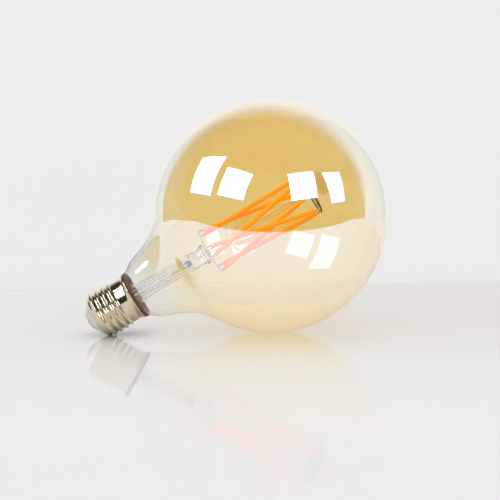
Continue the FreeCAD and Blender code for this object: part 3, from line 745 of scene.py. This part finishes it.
WINDOW_DIRECT = (6.0, 6.1, 6.3, 1.0)
WINDOW_ECHO = (2.2, 2.2, 6.5, 1.0)
WINDOW_LATE = (*BACKDROP, 1.0)
WINDOW_DISTANCE = 1.6
WINDOW_BASE = 0.06


def window_material():
    """Daylight: full strength in a first reflection, weaker in one from inside the glass,
    and no more than the backdrop after that or by way of the table."""
    material, nodes, links, output = new_material("window_glow")
    path = nodes.new("ShaderNodeLightPath")

    def below(depth, limit):
        return math_node(nodes, links, "LESS_THAN", path.outputs[depth], limit)

    outside = mix_color(nodes, links, below("Transmission Depth", 0.5),
                        WINDOW_ECHO, WINDOW_DIRECT)
    early = math_node(nodes, links, "MULTIPLY", below("Glossy Depth", 1.5),
                      below("Transparent Depth", FILM_PASSES))
    glow = nodes.new("ShaderNodeEmission")
    links.new(mix_color(nodes, links, early, WINDOW_LATE, outside), glow.inputs["Color"])
    links.new(glow.outputs["Emission"], output.inputs["Surface"])
    return material


def make_window(name, material, directions):
    """Bright pane that only shows in reflections.  Its corners are given as azimuth and
    elevation in degrees, with azimuth 0 in front of the bulb."""
    corners = []
    for azimuth, elevation in directions:
        a, e = math.radians(azimuth), math.radians(elevation)
        corners.append((WINDOW_DISTANCE * math.sin(a), -WINDOW_DISTANCE * math.cos(a),
                        WINDOW_DISTANCE * math.tan(e) + WINDOW_BASE))
    obj = row_mesh(name, corners, [(0, 1, 2, 3)], [material])
    obj.visible_camera = False
    obj.visible_diffuse = False
    obj.visible_shadow = False


daylight = window_material()
WINDOWS = (((-100, 42), (-69.5, 52.5), (-64.5, 19), (-89.5, 18)),
           ((-57.5, 45), (-23.5, 41.5), (-30, 17.5), (-56.5, 20.5)),
           ((16.5, 41), (47, 39.5), (42, 17.5), (16.5, 16.5)),
           ((57, 36.5), (77.5, 32), (70.5, 11.5), (56, 11.5)))
for index, directions in enumerate(WINDOWS):
    make_window(f"window_{index}", daylight, directions)


def area_light(name, place, size, power):
    """Round lamp over the bulb that no reflection shows."""
    lamp = bpy.data.lights.new(name, "AREA")
    lamp.shape = "DISK"
    lamp.size = size
    lamp.energy = power
    obj = bpy.data.objects.new(name, lamp)
    bpy.context.collection.objects.link(obj)
    obj.location = place
    aim = Vector((0, 0, 0.05)) - Vector(place)
    obj.rotation_euler = aim.to_track_quat("-Z", "Y").to_euler()
    obj.visible_camera = False
    obj.visible_glossy = False
    obj.visible_transmission = False


area_light("overhead", (0.1, 0.1, 1.5), 2.4, 22.0)
area_light("front_fill", (-0.6, -1.3, 0.9), 1.2, 8.0)


ROOM_DARK = (0.035, 0.03, 0.025, 1.0)
ROOM_SIDE = (0.24, 0.24, 0.24, 1.0)
ROOM_BRIGHT = (0.93, 0.92, 0.89, 1.0)
ROOM_BEYOND = (0.10, 0.10, 0.10, 1.0)
ROOM_DEEP = (0.85, 0.78, 0.64, 1.0)
BRIGHT_DIRECTION = (0.294, 0.967, -0.244)
BRIGHT_EDGE = 0.42
SIDE_DIRECTION = (0.08, 0.99, -1.0)
DEEP_PASSES = 4.5


def make_world():
    """Pale for the camera and by way of the table.  Reflections see a dark room, lighter
    to the sides, with a bright back part that fades out overhead; rays through the glass
    see that part dimmed, and after many passes an even warm light."""
    world = bpy.data.worlds.new("studio")
    bpy.context.scene.world = world
    world.use_nodes = True
    nodes, links = world.node_tree.nodes, world.node_tree.links
    nodes.clear()
    output = nodes.new("ShaderNodeOutputWorld")
    place = nodes.new("ShaderNodeTexCoord").outputs["Generated"]
    parts = nodes.new("ShaderNodeSeparateXYZ")
    links.new(place, parts.inputs["Vector"])

    def background(color):
        shader = nodes.new("ShaderNodeBackground")
        feed(links, shader.inputs["Color"], color)
        return shader.outputs["Background"]

    soft = range_node(nodes, links, parts.outputs["Z"], 0.03, 1.0, 0.02, 0.9)
    low = math_node(nodes, links, "MULTIPLY_ADD", soft, -0.5, BRIGHT_EDGE)
    high = math_node(nodes, links, "ADD", low, soft)
    toward = along_node(nodes, links, place, BRIGHT_DIRECTION)
    behind = range_node(nodes, links, toward, low, high, 0.0, 1.0, smooth=True)
    sideways = along_node(nodes, links, place, SIDE_DIRECTION)
    sides = range_node(nodes, links, sideways, -0.3, 0.4, 0.0, 1.0)
    walls = mix_color(nodes, links, sides, ROOM_DARK, ROOM_SIDE)
    room = background(mix_color(nodes, links, behind, walls, ROOM_BRIGHT))
    dimmed = background(mix_color(nodes, links, behind, walls, ROOM_BEYOND))
    path = nodes.new("ShaderNodeLightPath")
    deep = math_node(nodes, links, "GREATER_THAN", path.outputs["Transmission Depth"],
                     DEEP_PASSES)
    inside = mix_shader(nodes, links, deep, dimmed, background(ROOM_DEEP))
    through = mix_shader(nodes, links, path.outputs["Is Transmission Ray"], room, inside)
    by_table = math_node(nodes, links, "GREATER_THAN", path.outputs["Transparent Depth"],
                         FILM_PASSES)
    plain = math_node(nodes, links, "MAXIMUM", by_table, path.outputs["Is Camera Ray"])
    pale = background((*BACKDROP, 1.0))
    links.new(mix_shader(nodes, links, plain, through, pale), output.inputs["Surface"])


make_world()

# ---- camera -----------------------------------------------------------------------
CAMERA_YAW = -4.64
CAMERA_RISE = 3.09
CAMERA_ROLL = -0.67
CAMERA_DISTANCE = 0.500
LENS = 67.0
AIM_RIGHT = -0.022
AIM_UP = -0.036


def make_camera():
    """Camera in front of the globe's centre; the aim is shifted so that the globe stands
    a little right of the middle and above it."""
    yaw, rise = math.radians(CAMERA_YAW), math.radians(CAMERA_RISE)
    back = Vector((math.sin(yaw) * math.cos(rise), -math.cos(yaw) * math.cos(rise),
                   math.sin(rise)))
    globe = RIM + AXIS * (GLOBE_CENTER * MM)
    right = (-back).cross(Vector((0, 0, 1))).normalized()
    up = right.cross(-back)
    aim = (-back + right * AIM_RIGHT + up * AIM_UP).normalized()
    data = bpy.data.cameras.new("camera")
    data.lens = LENS
    data.sensor_width = 36.0
    data.clip_start = 0.01
    obj = bpy.data.objects.new("camera", data)
    bpy.context.collection.objects.link(obj)
    obj.location = globe + back * CAMERA_DISTANCE
    turn = aim.to_track_quat("-Z", "Y").to_matrix()
    roll = Matrix.Rotation(math.radians(CAMERA_ROLL), 3, "Z")
    obj.rotation_euler = (turn @ roll).to_euler()
    bpy.context.scene.camera = obj


make_camera()
scene = bpy.context.scene
scene.view_settings.view_transform = "Standard"
scene.cycles.max_bounces = 24
scene.cycles.transmission_bounces = 20
scene.cycles.glossy_bounces = 8
scene.cycles.transparent_max_bounces = 24
scene.cycles.caustics_reflective = False
scene.cycles.caustics_refractive = False
